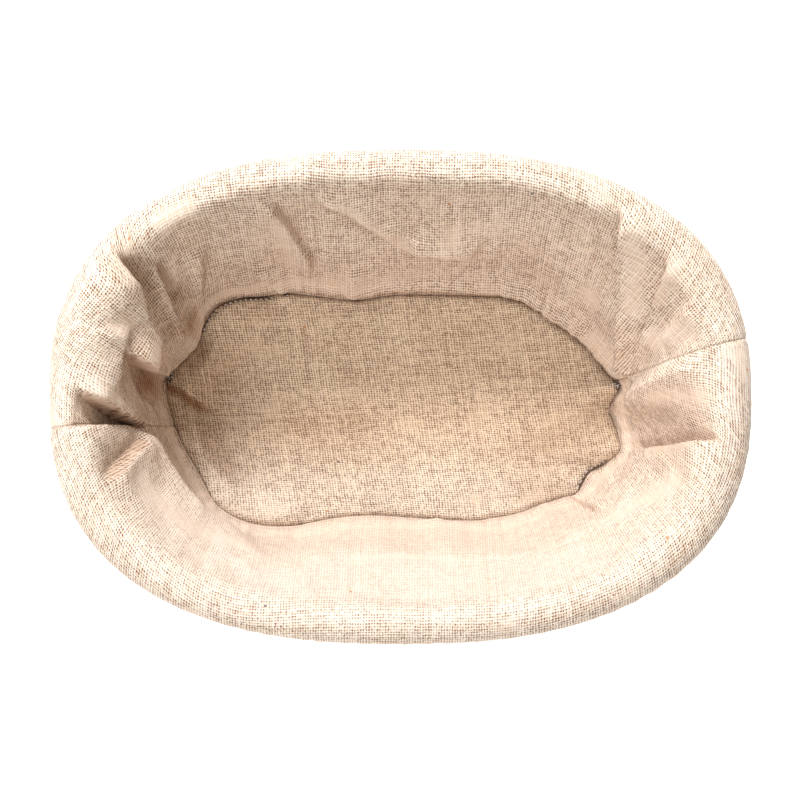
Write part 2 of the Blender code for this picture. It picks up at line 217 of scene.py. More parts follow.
def smooth_path(points, steps=8):
    """A Catmull-Rom curve through points."""
    points = np.asarray(points, float)
    padded = np.vstack([2 * points[0] - points[1], points, 2 * points[-1] - points[-2]])
    made = []
    for before, start, end, after in zip(padded, padded[1:], padded[2:], padded[3:]):
        bend, twist = 2 * before - 5 * start + 4 * end - after, 3 * start - before - 3 * end + after
        for t in np.arange(steps) / steps:
            made.append(0.5 * (2 * start + (end - before) * t + bend * t ** 2 + twist * t ** 3))
    return np.array(made + [points[-1]])


def round_ring(marks, values):
    """A smooth function of the turn that takes these values at these marks and meets itself."""
    order = np.argsort(np.mod(marks, 1.0))
    marks, values = np.mod(marks, 1.0)[order], np.asarray(values, float)[order]
    looped = smooth_path(np.column_stack([
        np.concatenate([marks[-2:] - 1, marks, marks[:2] + 1]),
        np.concatenate([values[-2:], values, values[:2]]),
    ]))
    return lambda turn: np.interp(np.mod(turn, 1.0), looped[:, 0], looped[:, 1])


# Meshes

def new_piece(name, material, body, nodes, slot, grids, thickness=0.0, offset=-1.0, **measures):
    """A mesh over grids, thickened if it is cloth, that rides on its body and stands for its CAD nodes."""
    piece = bpy.data.objects.new(name, bpy.data.meshes.new(name))
    bpy.context.scene.collection.objects.link(piece)
    piece.data.materials.append(material)
    fill_mesh(piece.data, grids, **measures)
    if thickness:
        shell = piece.modifiers.new("thickness", "SOLIDIFY")
        shell.thickness, shell.offset = thickness, offset
    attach(piece, body)
    if nodes:
        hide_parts(*nodes)
    return piece


def fill_mesh(mesh, grids, **measures):
    """Quads over grids of points, each with its UVs.

    A grid is (points, uvs, closed rows, capped rows), and capped rows are filled with one face.
    """
    vertices, faces, uvs = [], [], []
    first = 0
    for points, coordinates, closed, capped in grids:
        rows, columns = points.shape[:2]
        vertices.append(points.reshape(-1, 3))
        i, j = np.meshgrid(np.arange(rows - 1), np.arange(columns if closed else columns - 1), indexing="ij")
        corners = [(i, j), (i, j + 1), (i + 1, j + 1), (i + 1, j)]
        quads = np.stack([first + a * columns + b % columns for a, b in corners], axis=-1)
        faces += quads.reshape(-1, 4).tolist()
        uvs.append(np.stack([coordinates[a, b] for a, b in corners], axis=-2).reshape(-1, 2))
        for row in capped:
            ring = np.arange(columns)[::1 if row else -1]
            faces.append((first + row % rows * columns + ring).tolist())
            uvs.append(coordinates[row, ring])
        first += rows * columns
    mesh.from_pydata(np.concatenate(vertices).tolist(), [], faces)
    for name, values in measures.items():
        attribute = mesh.attributes.new(name, "FLOAT", "POINT")
        attribute.data.foreach_set("value", values.astype(np.float32).ravel())
    mesh.uv_layers.new(name="cloth").data.foreach_set("uv", np.concatenate(uvs).astype(np.float32).ravel())
    mesh.shade_smooth()
    mesh.update()


def tube_grid(path, radii, sides):
    """A round tube along a path, as a grid with its UVs in metres along it and round it."""
    path = np.asarray(path, float)
    tangents = np.gradient(path, axis=0)
    tangents /= np.linalg.norm(tangents, axis=1, keepdims=True)
    level = np.cross(np.array([0.0, 0.0, 1.0]), tangents)
    level /= np.maximum(np.linalg.norm(level, axis=1, keepdims=True), 1e-9)
    upright = np.cross(tangents, level)
    angles = np.linspace(0, 2 * math.pi, sides, endpoint=False)
    radii = np.broadcast_to(radii, len(path))[:, None, None]
    ring = np.cos(angles)[None, :, None] * level[:, None] + np.sin(angles)[None, :, None] * upright[:, None]
    around = np.arange(sides + 1) / sides * 2 * math.pi * float(radii.max())
    uvs = np.stack(np.broadcast_arrays(lengths_along(path)[:, None], around[None]), axis=-1)
    return path[:, None] + radii * ring, uvs, True, (0, -1)


# Materials

class Value:
    """What a node works out. It adds, subtracts, multiplies and divides with others and with numbers."""

    def __init__(self, shader, socket):
        self.shader, self.socket = shader, socket

    def __add__(self, other):
        return self.shader.calc("ADD", self, other)

    def __sub__(self, other):
        return self.shader.calc("SUBTRACT", self, other)

    def __rsub__(self, other):
        return self.shader.calc("SUBTRACT", other, self)

    def __mul__(self, other):
        return self.shader.calc("MULTIPLY", self, other)

    def __truediv__(self, other):
        return self.shader.calc("DIVIDE", self, other)


class Shader:
    """Builds a material's nodes from expressions of values and numbers."""

    def __init__(self, name):
        self.material = bpy.data.materials.new(name)
        self.material.use_nodes = True
        self.tree = self.material.node_tree
        self.principled = self.tree.nodes["Principled BSDF"]

    def node(self, kind, inputs=(), **settings):
        """A new node with these settings, and values or numbers in its inputs, by name or in order."""
        made = self.tree.nodes.new(kind)
        for key, value in settings.items():
            setattr(made, key, value)
        for key, value in inputs.items() if isinstance(inputs, dict) else enumerate(inputs):
            self.put(made.inputs[key], value)
        return made

    def put(self, socket, value):
        if isinstance(value, Value):
            self.tree.links.new(value.socket, socket)
        else:
            socket.default_value = value

    def result(self, made, key=0):
        return Value(self, made.outputs[key])

    def calc(self, operation, *values):
        return self.result(self.node("ShaderNodeMath", values, operation=operation))

    def whole(self, value):
        return self.calc("FLOOR", value)

    def vector(self, x=0.0, y=0.0, z=0.0):
        return self.result(self.node("ShaderNodeCombineXYZ", (x, y, z)))

    def parts(self, vector):
        split = self.node("ShaderNodeSeparateXYZ", (vector,))
        return [self.result(split, i) for i in range(3)]

    def noise(self, position, scale, detail=2.0, roughness=0.5):
        inputs = {"Vector": position, "Scale": scale, "Detail": detail, "Roughness": roughness}
        return self.result(self.node("ShaderNodeTexNoise", inputs), "Fac")

    def chance(self, x, y, z):
        """A random number from 0 to 1 for each whole place."""
        inputs = {"Vector": self.vector(x, y, z)}
        return self.result(self.node("ShaderNodeTexWhiteNoise", inputs, noise_dimensions="3D"), "Value")

    def ramp(self, value, low, high, start=0.0, end=1.0):
        """Goes smoothly from start to end as value goes from low to high."""
        inputs = (value, low, high, start, end)
        return self.result(self.node("ShaderNodeMapRange", inputs, interpolation_type="SMOOTHSTEP"))

    def mix(self, share, first, second, blend="MIX"):
        made = self.node("ShaderNodeMix", (share,), data_type="RGBA", blend_type=blend)
        for socket, colour in ((made.inputs[6], first), (made.inputs[7], second)):
            self.put(socket, (*colour, 1.0) if isinstance(colour, tuple) else colour)
        return self.result(made, 2)

    def measure(self, name):
        """A measure that the mesh has at each point."""
        return self.result(self.node("ShaderNodeAttribute", attribute_name=name), "Fac")

    def coordinates(self):
        """The mesh's own UVs: thread counts on linen, metres along and round elsewhere."""
        return self.parts(self.result(self.node("ShaderNodeUVMap", uv_map="cloth")))[:2]

    def place(self):
        return self.result(self.node("ShaderNodeNewGeometry"), "Position")

    def finish(self, colour, roughness, height=None, distance=0.0002, strength=1.0, **constants):
        """The material, with bump from a height if there is one."""
        self.put(self.principled.inputs["Base Color"], colour)
        self.put(self.principled.inputs["Roughness"], roughness)
        for name, value in constants.items():
            self.principled.inputs[name.replace("_", " ")].default_value = value
        if height is not None:
            inputs = {"Strength": strength, "Distance": distance, "Height": height}
            self.put(self.principled.inputs["Normal"], self.result(self.node("ShaderNodeBump", inputs)))
        return self.material


def thread_set(s, across, along, other_cell, seed):
    """One of a weave's two sets of threads: (height, tone) at a place."""
    cell = s.whole(across)
    own = s.chance(cell, seed, 0.5)
    slub = s.noise(s.vector(cell * 3.7, along * 0.16, seed), 1.0)
    width = own * 0.05 + s.ramp(slub, 0.3, 0.75, 0.29, 0.40)
    side = (across - cell - 0.5 + (own - 0.5) * 0.12) / width
    round_part = s.calc("SQRT", s.calc("MAXIMUM", 1.0 - side * side, 0.0))
    over = s.calc("SINE", (along + (cell + other_cell)) * math.pi)
    return round_part * (over * 0.33 + 0.67), own * 0.35 + slub * 0.65


def linen(name, light, dark, hole, pale):
    """Loose unbleached plain weave: uneven threads with slubs, dark gaps and a few coloured flecks."""
    s = Shader(name)
    along, across = s.coordinates()
    flat = s.vector(along, across)
    wander = s.noise(flat, 0.035) * 1.8 + s.noise(flat, 0.30, 1.0) * 0.5
    u, v = along + wander, across - wander
    warp, warp_tone = thread_set(s, u, v, 0.0, 2.0)
    weft, weft_tone = thread_set(s, v, u, 1.0, 9.0)
    height = s.calc("MAXIMUM", warp, weft)
    warp_on_top = s.calc("GREATER_THAN", warp, weft)
    tone = warp_on_top * warp_tone + (1.0 - warp_on_top) * weft_tone
    fibre = s.noise(s.vector(u, v), 2.2, 3.0, 0.65)
    # Thread tone varies at random; the threads' crowns (height * 0.35) get a painted highlight
    shade = s.noise(flat, 0.04) * 0.25 + fibre * 0.6 + tone * 0.6 + height * 0.35
    colour = s.mix(s.ramp(shade, 0.72, 1.12), dark, light)
    # Where the cloth is rubbed smooth, fuzz covers the gaps; over much of the lit front the gaps are hidden
    # as painted light
    rubbed_patch = s.ramp(s.noise(flat, 0.05, 1.0), 0.56, 0.72, 0.0, 0.6)
    felted = s.calc("MAXIMUM", s.measure("rubbed_and_lit_smooth"), rubbed_patch)
    # Dark between the threads: the gaps themselves, with painted shade reaching up the threads' sides
    gap = s.ramp(height, 0.10, s.ramp(s.noise(flat, 0.25, 1.0), 0.3, 0.7, 0.68, 0.95), 1.0, 0.0)
    gap = gap * s.ramp(s.chance(s.whole(u + 0.5), s.whole(v + 0.5), 11.0), 0.0, 0.8, 0.35, 1.5)
    gap = felted * 0.15 + gap * (1.0 - felted)
    # Painted highlight: where the key light falls on the front, the colour is paled
    colour = s.mix(gap, s.mix(s.measure("faded") * 0.45, colour, pale), hole)
    fleck_here = s.calc("GREATER_THAN", s.chance(s.whole(u), s.whole(v), 4.0), 0.9998)
    dark_fleck = s.calc("GREATER_THAN", s.chance(s.whole(v), s.whole(u), 7.0), 0.45)
    colour = s.mix(fleck_here * 0.85, colour, s.mix(dark_fleck, (0.52, 0.20, 0.06), (0.10, 0.06, 0.05)))
    # Painted shade: creases, hollows, the cloth beside a seam and the wall towards the floor are darkened
    colour = s.mix(s.measure("worn"), colour, s.mix(1.0, colour, (0.50, 0.345, 0.235), "MULTIPLY"))
    relief = fibre * 0.30 + height * (1.0 - felted * 0.7)
    return s.finish(colour, 0.92, relief, 0.00035, 0.85, Sheen_Weight=0.10, Sheen_Roughness=0.6)


def cane(name):
    """Peeled rattan: fine fibres and pores along it, slow changes from straw to amber, satin."""
    s = Shader(name)
    along, around = s.coordinates()
    streak = s.noise(s.vector(along * 0.05, around), 2600.0, 4.0, 0.6)
    pore = s.noise(s.vector(along * 0.12, around), 5200.0)
    tone = s.noise(s.vector(along, around * 0.3, 3.0), 22.0, 3.0)
    blotch = s.noise(s.place(), 160.0, 3.0)
    colour = s.mix(s.ramp(tone, 0.32, 0.68), (0.62, 0.42, 0.21), (0.43, 0.25, 0.105))
    colour = s.mix(s.ramp(streak, 0.42, 0.66, 0.0, 0.55), colour, (0.72, 0.53, 0.30))
    colour = s.mix(s.ramp(pore, 0.62, 0.74, 0.0, 0.6), colour, (0.24, 0.13, 0.055))
    colour = s.mix(s.ramp(blotch, 0.62, 0.8, 0.0, 0.35), colour, (0.36, 0.20, 0.09))
    grain = streak * 0.7 - s.ramp(pore, 0.6, 0.75, 0.0, 0.5)
    return s.finish(colour, s.ramp(streak, 0.3, 0.7, 0.62, 0.42), grain, 0.00018, 0.7)


def thread(name, light, dark):
    """Twisted sewing thread."""
    s = Shader(name)
    along, around = s.coordinates()
    twist = s.calc("SINE", along * 9000.0 + around * 5200.0)
    fuzz = s.noise(s.place(), 2600.0)
    return s.finish(s.mix(s.ramp(fuzz * 1.2 + twist, -0.4, 1.6), dark, light), 0.8, twist, 0.00006, 0.8)


def steel(name):
    """Drawn wire with a little tarnish."""
    s = Shader(name)
    tarnish = s.noise(s.place(), 700.0, 4.0, 0.7)
    colour = s.mix(s.ramp(tarnish, 0.45, 0.75), (0.60, 0.58, 0.55), (0.33, 0.29, 0.25))
    return s.finish(colour, s.ramp(tarnish, 0.3, 0.8, 0.28, 0.55), tarnish, 0.00003, 0.6, Metallic=1.0)


def bamboo(name):
    """Split bamboo, pale with brown fibres."""
    s = Shader(name)
    x, y, z = s.parts(s.place())
    fibre = s.noise(s.vector(x, y * 0.04, z), 2400.0, 3.0, 0.6)
    colour = s.mix(s.ramp(fibre, 0.35, 0.7), (0.74, 0.58, 0.35), (0.45, 0.30, 0.15))
    return s.finish(colour, 0.6, fibre, 0.0001, 0.6)


def braid(name):
    """Woven elastic: pale cords with a zigzag of covering yarn."""
    s = Shader(name)
    x, y, z = s.parts(s.place())
    zigzag = s.calc("PINGPONG", (x + y) * 1100.0, 1.0)
    rows = s.calc("SINE", z * 7000.0 + zigzag * 2.0)
    colour = s.mix(s.ramp(rows, -0.6, 0.8), (0.55, 0.53, 0.49), (0.90, 0.88, 0.84))
    return s.finish(colour, 0.7, rows, 0.00008, 0.8)


# The cane basket

def coil_path(first_level, turns, per_turn=200):
    """The centre line of whole turns from first_level up, with the turn that each point is at."""
    trimmed = CLEARANCE / (2 * math.pi * MEAN_HALF_WIDTH)
    marks = np.clip(np.arange(turns * per_turn + 1) / per_turn, trimmed, turns - trimmed)
    whole = np.minimum(np.floor(marks), turns - 1)
    levels, share = first_level + whole, marks - whole
    half_widths, heights = level_section(levels + step_up(levels, share))
    x, y = oval(share, half_widths)
    return np.column_stack([x, y, heights]), marks


def add_cane(name, node, path, radii=1.0, sides=18):
    """A cane with slight swellings and knots where the plant's leaves grew, cut flat at the floor."""
    length = lengths_along(path)
    swell = 1 + 0.012 * waves(length, 0 * length, 0.16, 0.03)
    knots = np.arange(random.uniform(0.02, 0.16), length[-1], 0.21)
    for knot in knots + random.uniform(-0.03, 0.03, len(knots)):
        swell += 0.035 * np.exp(-((length - knot) / 0.0022) ** 2)
        swell -= 0.02 * np.exp(-((length - knot - 0.004) / 0.003) ** 2)
    points, *rest = tube_grid(path, CANE_RADIUS * swell * radii, sides)
    points[..., 2] = np.maximum(points[..., 2], 0.0)
    new_piece(name, CANE, "basket", [node], "cane", [(points, *rest)])


def add_basket():
    core = np.linspace(-CORE_HALF, CORE_HALF, 80)
    add_cane("cane_floor_core", "floor_core_cane", np.column_stack([core, 0 * core, 0 * core + BOTTOM_Z]))

    # The floor's coil starts as a thin end beside the core
    turn = step_start(CORE_LEVEL) + STEP_SHARE * np.linspace(0.30, 0.94, 14)
    radius = np.minimum(step_up(CORE_LEVEL, turn) * FLOOR_PITCH / 2, CANE_RADIUS)
    x, y = oval(turn, CANE_RADIUS + CLEARANCE + radius)
    spiral = coil_path(CORE_LEVEL + 1, FLOOR_RINGS - 1)[0]
    path = np.vstack([np.column_stack([x, y, 0 * x + BOTTOM_Z]), spiral])
    radii = np.append(radius / CANE_RADIUS, np.ones(len(spiral)))
    add_cane("cane_floor_coil", "floor_coil_cane", path, radii)

    add_cane("cane_wall_lower", "lower_wall_coil_cane", coil_path(0, LOWER_COIL_TURNS)[0])
    upper = coil_path(LOWER_COIL_TURNS, TOP_LEVEL - LOWER_COIL_TURNS)[0]
    add_cane("cane_wall_upper", "upper_wall_coil_cane", upper)

    # The rim's end is shaved to a wedge over the turn below
    path, marks = coil_path(TOP_LEVEL, 1)
    path = path[marks < step_start(TOP_LEVEL)]
    pitch = level_section(TOP_LEVEL)[1] - level_section(TOP_LEVEL - 1)[1]
    turn = step_start(TOP_LEVEL) + STEP_SHARE * np.linspace(0.04, 0.70, 14)
    radius = np.minimum((pitch * (1 - step_up(TOP_LEVEL, turn)) - CLEARANCE) / 2, CANE_RADIUS)
    x, y = oval(turn, RIM_HALF_WIDTH)
    wedge = np.column_stack([x, y, RIM_Z + CANE_RADIUS - radius])
    radii = np.append(np.ones(len(path)), radius / CANE_RADIUS)
    add_cane("cane_rim", "rim_cane", np.vstack([path, wedge]), radii)


# The liner

# How far the floor seam lies out from its even oval, in millimetres, as (turn, how far) marks
SEAM_PLACES = round_ring(*np.transpose([
    (0.023, 0.9), (0.042, 1.3), (0.063, 3.7), (0.085, 5.6), (0.105, 4.6), (0.120, 3.2), (0.140, 5.2),
    (0.160, 7.4), (0.178, 6.6), (0.197, 5.0), (0.236, 2.8), (0.258, 3.0), (0.282, 4.6), (0.310, 4.0),
    (0.344, 1.4), (0.369, -0.4), (0.391, -2.4), (0.418, -3.0), (0.461, -1.7), (0.487, -1.4), (0.500, -2.4),
    (0.530, -3.2), (0.552, -3.4), (0.576, -1.6), (0.588, 0.2), (0.601, -0.6), (0.614, -1.0), (0.629, 1.8),
    (0.644, 4.4), (0.657, 2.8), (0.682, -0.5), (0.695, 1.0), (0.704, 3.0), (0.712, 1.6), (0.725, -0.1),
    (0.758, -2.1), (0.780, -3.2), (0.800, -3.6), (0.820, -2.6), (0.843, -1.3), (0.886, -0.5), (0.935, -0.2),
    (0.965, -1.9), (0.990, -0.8),
]))
# How far the wall's cloth rolls in over the floor seam, in millimetres
SEAM_LIP = round_ring(*np.transpose([
    (0.02, 1.0), (0.06, 0.5), (0.09, 0.5), (0.11, 2.2), (0.14, 3.0), (0.158, 1.0), (0.18, 0.6), (0.20, 0.6),
    (0.27, 0.4), (0.34, 0.5), (0.38, 0.9), (0.41, 0.6), (0.45, 1.2), (0.50, 1.2), (0.56, 0.8), (0.62, 0.5),
    (0.67, 0.8), (0.70, 1.0), (0.73, 2.4), (0.78, 3.0), (0.82, 3.0), (0.86, 2.4), (0.90, 1.6), (0.96, 1.4),
]))


def evenly(line, count):
    """A polyline resampled at even steps."""
    length = lengths_along(line.T)
    even = np.linspace(0, length[-1], count)
    return np.array([np.interp(even, length, row) for row in line])


def rounded(line, count=600, passes=300):
    """A polyline with its corners softened."""
    line = evenly(line, count)
    for _ in range(passes):
        line[:, 1:-1] = (line[:, :-2] + 2 * line[:, 1:-1] + line[:, 2:]) / 4
    return line


def liner_section():
    """The wall's cloth in section: (half-widths, heights) from the floor seam over the crown to the hem."""
    levels = np.arange(1, TOP_LEVEL)
    reach = CANE_RADIUS + CLEARANCE + CLOTH
    below, above = np.array(level_section(levels - 0.5)), np.array(level_section(levels + 0.5))
    along = (above - below) / np.linalg.norm(above - below, axis=0)
    wall = np.array(level_section(levels)) + np.array([-along[1], along[0]]) * reach
    foot = [[FLOOR_HALF_WIDTH + SEAM_GAP / 2], [FLOOR_Z - CLOTH / 2]]
    angles = np.linspace(math.pi, math.pi / 2, 14)
    rise = [RIM_HALF_WIDTH + reach * np.cos(angles), RIM_Z + reach * np.sin(angles)]
    out = CANE_RADIUS + STAPLE_STANDS_OUT + CLEARANCE + CLOTH
    angles = np.linspace(math.pi / 2, 0, 14)[1:]
    fall = [RIM_HALF_WIDTH + out * np.cos(angles), RIM_Z + reach * np.sin(angles)]
    skirt = [[RIM_HALF_WIDTH + out, HEM_OUTER - 0.4 * MM], [RIM_Z - 6 * MM, HEM_TOP + 0.6 * MM]]
    line = rounded(np.concatenate([foot, wall, rise, fall, skirt], axis=1))
    crown = np.argmax(line[1])
    inner, outer = evenly(line[:, :crown + 1], WALL_ROWS), evenly(line[:, crown:], ROLL_ROWS)
    return np.concatenate([inner, outer[:, 1:]], axis=1)


SECTION = liner_section()
SECTION_MARKS = np.concatenate([np.linspace(0, 1, WALL_ROWS), 1 + np.arange(1, ROLL_ROWS) / (ROLL_ROWS - 1)])
WALL_LENGTH = lengths_along(SECTION.T)[WALL_ROWS - 1]
WALL_SCALE = np.array([CLOTH_ROUND, WALL_LENGTH])


class Fold:
    """A fold along a path: a crest that slopes gently to one side and drops to a trough on the other.

    On the wall the path is (turn, depth) points. The steep side is to the right or the left of someone who
    walks along it on a chart with turns growing to the right and depths growing downwards. Sizes are in
    millimetres, and lean is how far the crest leans over its trough.
    """

    def __init__(self, path, rise, gentle, steep, dip=0.0, reach=5.0, side="right", fade=(0.2, 0.2), lean=0):
        self.path, self.rise, self.gentle, self.steep = path, rise, gentle, steep
        self.dip, self.reach, self.fade, self.lean = dip, reach, fade, lean
        self.sign = 1 if side == "right" else -1

    def on_wall(self, turn, depth):
        """As shape, on the wall, where turns go round."""
        middle = np.mean([point[0] for point in self.path])
        return self.shape(turn + np.round(middle - turn), depth, WALL_SCALE)

    def shape(self, along, across, scale):
        """At (along, across), which scale turns into metres: how far the cloth stands out, how far it shifts
        along and across, and how much shade is painted along its crease.
        """
        path = smooth_path(self.path) * scale
        x, y = along * scale[0], across * scale[1]
        near = np.full(x.shape, np.inf)
        side, share, away_x, away_y = (np.zeros(x.shape) for _ in range(4))
        lengths = lengths_along(path)
        for start, end, first, last in zip(path, path[1:], lengths, lengths[1:]):
            step = (end - start) / max(last - first, 1e-9)
            from_x, from_y = x - start[0], y - start[1]
            t = np.clip(from_x * step[0] + from_y * step[1], 0, last - first)
            distance = np.hypot(from_x - t * step[0], from_y - t * step[1])
            closer = distance < near
            near = np.where(closer, distance, near)
            side = np.where(closer, np.sign(step[0] * from_y - step[1] * from_x) * self.sign, side)
            share = np.where(closer, (first + t) / lengths[-1], share)
            away_x = np.where(closer, -step[1] * self.sign, away_x)
            away_y = np.where(closer, step[0] * self.sign, away_y)
        near = near / MM
        gentle = self.rise * np.exp(-(near / self.gentle) ** 1.6)
        trough = self.dip * np.exp(-(near / self.reach) ** 2)
        steep = (self.rise + self.dip) * np.exp(-(near / self.steep) ** 2) - trough
        start_fade, end_fade = self.fade
        envelope = smooth_step(share / start_fade) if start_fade else 1.0
        envelope = envelope * (smooth_step((1 - share) / end_fade) if end_fade else 1.0)
        height = np.where(side > 0, steep, gentle) * envelope * MM
        width = np.where(side > 0, self.steep * 1.5, self.gentle * 0.7)
        lean = self.lean * MM * envelope * np.exp(-(near / width) ** 2)
        # Painted shade: the cloth in the trough beside the steep side is darkened, more for deeper folds
        depth = min((self.rise + self.dip) / 7.5, 1.0) * envelope
        crease = depth * np.exp(-((near - 1.1 * self.steep) / (1.5 * self.steep)) ** 2)
        return height, lean * away_x, lean * away_y, np.where(side > 0, crease, 0.0)


WALL_FOLDS = [
    # The back wall: a slanted crease, a small one at the seam, a soft ridge and a smooth bulge
    Fold([(0.024, 0.10), (0.010, 0.44), (-0.002, 0.72), (-0.002, 0.90)], 2.0, 7, 1.4, 2.0, 3.5, "right",
         lean=0.6),
    Fold([(0.044, 0.70), (0.034, 0.86), (0.022, 0.99)], 1.8, 5, 1.2, 1.6, 3, "left", (0.3, 0), lean=0.6),
    Fold([(0.992, 0.14), (0.970, 0.26), (0.952, 0.42), (0.932, 0.58)], 3.0, 7, 2.6, 1.4, 5, "left"),
    Fold([(0.934, 0.60), (0.908, 0.62), (0.880, 0.68)], 4.0, 9, 4, 1.2, 8, "left"),
    Fold([(0.884, 0.72), (0.872, 0.64), (0.862, 0.52)], 1.0, 5, 3.0, 0.6, 4, "right"),
    Fold([(0.967, 0.74), (0.968, 0.99)], 1.6, 5, 3, 0.6, 5, "left", (0.5, 0)),
    # The back right corner: a long crease down to the seam, and a fan of smaller ones beside it
    Fold([(0.804, 0.00), (0.793, 0.06), (0.782, 0.20), (0.772, 0.34), (0.757, 0.50), (0.741, 0.66),
          (0.712, 0.88)], 4.6, 5, 1.2, 3.2, 5, "left", (0.10, 0.05), lean=1.2),
    Fold([(0.766, 0.00), (0.758, 0.10), (0.750, 0.24), (0.738, 0.42), (0.729, 0.60)], 2.2, 4, 1.3, 1.6, 4,
         "left", lean=0.4),
    Fold([(0.735, 0.05), (0.730, 0.18), (0.723, 0.38)], 1.6, 4, 2.2, 0.8, 4, "left"),
    # The left end: the long edge, its echoes, the flap, and the pocket beside the seam
    Fold([(0.104, -0.04), (0.1070, 0.00), (0.114, 0.06), (0.122, 0.14), (0.134, 0.26), (0.150, 0.52)],
         5.0, 11, 0.8, 3.6, 8, "right", (0.22, 0.30), lean=1.6),
    Fold([(0.097, 0.16), (0.106, 0.36), (0.117, 0.58), (0.130, 0.82)], 3.8, 3.5, 1.6, 3.0, 4, "right"),
    Fold([(0.070, 0.30), (0.080, 0.55), (0.094, 0.80)], 1.8, 4, 2.4, 1.2, 4, "right"),
    Fold([(0.140, 0.08), (0.152, 0.13), (0.165, 0.16), (0.178, 0.22)], 2.6, 8, 4.0, 1.0, 8, "right",
         (0.2, 0.3)),
    Fold([(0.150, 0.14), (0.155, 0.34), (0.156, 0.56), (0.155, 0.84)], 5.6, 6, 0.8, 5.0, 8, "left",
         (0.2, 0.05), lean=2.4),
    Fold([(0.1795, 0.02), (0.184, 0.14), (0.192, 0.36), (0.199, 0.64)], 3.6, 7, 0.7, 6.0, 8, "left",
         (0.12, 0.15), lean=2.5),
    Fold([(0.2035, -0.02), (0.2030, 0.30), (0.2020, 0.62)], 3.4, 10, 0.7, 1.0, 4, "right", (0.10, 0.2),
         lean=0.5),
    Fold([(0.240, 0.06), (0.228, 0.24), (0.215, 0.46)], 3.0, 9, 1.8, 3.0, 5, "right"),
    # The front left: a full bulge over a strip that stays back beside the floor seam
    Fold([(0.204, 0.56), (0.222, 0.54), (0.246, 0.56), (0.272, 0.60), (0.296, 0.66), (0.325, 0.82)],
         4.0, 18, 1.2, 2.0, 7, "right", (0.08, 0.25), lean=1.2),
    # The right end and the front right
    Fold([(0.702, 0.04), (0.699, 0.45), (0.692, 0.86)], 4.0, 5, 13, 0, 5, "right", (0.2, 0.1)),
    Fold([(0.658, 0.00), (0.6535, 0.14), (0.6495, 0.34), (0.646, 0.54), (0.640, 0.82)], 4.0, 9, 1.1, 3.0, 5,
         "left", (0.15, 0.1), lean=1.0),
    Fold([(0.636, 0.24), (0.644, 0.44)], 1.0, 4, 1.8, 0.8, 3, "left"),
    Fold([(0.594, 0.66), (0.588, 0.82), (0.584, 0.98)], 1.8, 4, 1.3, 1.2, 3, "right", (0.3, 0), lean=0.3),
    Fold([(0.560, 0.50), (0.556, 0.75), (0.553, 0.99)], 1.8, 7, 4, 0.6, 5, "right", (0.4, 0)),
    Fold([(0.470, 0.60), (0.462, 0.80), (0.455, 0.99)], 1.2, 7, 4, 0.4, 5, "right", (0.4, 0)),
]

# Where the wall's cloth is full, or sinks in where the rise is below 0: ((turn, depth), half its width round
# and down the wall, rise), in millimetres
WALL_PILLOWS = [
    ((0.150, 0.26), 21, 23, 4.5),
    ((0.128, 0.66), 11, 16, 2.5),
    ((0.252, 0.40), 26, 26, 2.5),
    ((0.168, 0.78), 6, 12, -3.0),
    ((0.745, 0.42), 17, 26, 3.0),
    ((0.690, 0.50), 10, 24, 2.5),
    ((0.380, 0.55), 60, 20, 1.5),
]


# Where the weave is rubbed smooth: (path, half-width in millimetres)
RUBBED_BANDS = [Fold(path, 0.95, width, width, fade=(0.15, 0.15)) for path, width in (
    ([(0.993, 0.17), (0.973, 0.22), (0.958, 0.36), (0.937, 0.55), (0.913, 0.72)], 3.0),
    ([(0.929, 0.68), (0.907, 0.66), (0.881, 0.72)], 6.5),
    ([(0.899, 0.42), (0.901, 0.60)], 4.0),
    ([(0.050, 0.69), (0.027, 0.80), (0.006, 0.90), (0.971, 0.90)], 3.5),
    ([(0.020, 0.20), (0.014, 0.53), (0.012, 0.84)], 4.5),
    ([(0.795, 0.01), (0.786, 0.06), (0.776, 0.17), (0.761, 0.37), (0.745, 0.50)], 3.0),
    ([(0.727, 0.53), (0.724, 0.25), (0.727, 0.07)], 5.0),
    ([(0.799, 0.72), (0.773, 0.69)], 5.5),
    ([(0.763, 0.01), (0.755, 0.10), (0.747, 0.28)], 2.2),
    ([(0.107, 0.02), (0.113, 0.08), (0.124, 0.23)], 3.5),
    ([(0.097, 0.30), (0.105, 0.48)], 5.0),
    ([(0.147, 0.24), (0.153, 0.48), (0.145, 0.60)], 6.0),
    ([(0.183, 0.05), (0.181, 0.10), (0.183, 0.24)], 4.0),
    ([(0.224, 0.20), (0.259, 0.31), (0.296, 0.42), (0.349, 0.67)], 9.0),
    ([(0.387, 0.52), (0.434, 0.58), (0.481, 0.55)], 8.0),
    ([(0.582, 0.59), (0.616, 0.39), (0.639, 0.13)], 6.0),
    ([(0.687, 0.58), (0.684, 0.18), (0.685, 0.05)], 3.5),
    ([(0.644, 0.61), (0.650, 0.22), (0.658, 0.05)], 2.5),
    ([(0.085, 0.01), (0.057, 0.04)], 5.0),
    ([(0.147, 0.07), (0.135, 0.16)], 3.5),
)]


# Where shade is painted on the cloth, in hollows and beside folds: ((turn, depth), half its width round and
# down the wall in millimetres, how much)
PAINTED_SHADE_PLACES = [
    ((0.168, 0.78), 7, 17, 1.0),
    ((0.111, 0.84), 7, 9, 0.85),
    ((0.123, 0.62), 7, 9, 0.50),
    ((0.099, 0.55), 6, 9, 0.50),
    ((0.109, 0.15), 4, 12, 0.45),
    ((0.196, 0.42), 4, 12, 0.6),
    ((0.745, 0.22), 8, 12, 0.20),
    ((0.228, 0.72), 16, 10, 0.25),
]

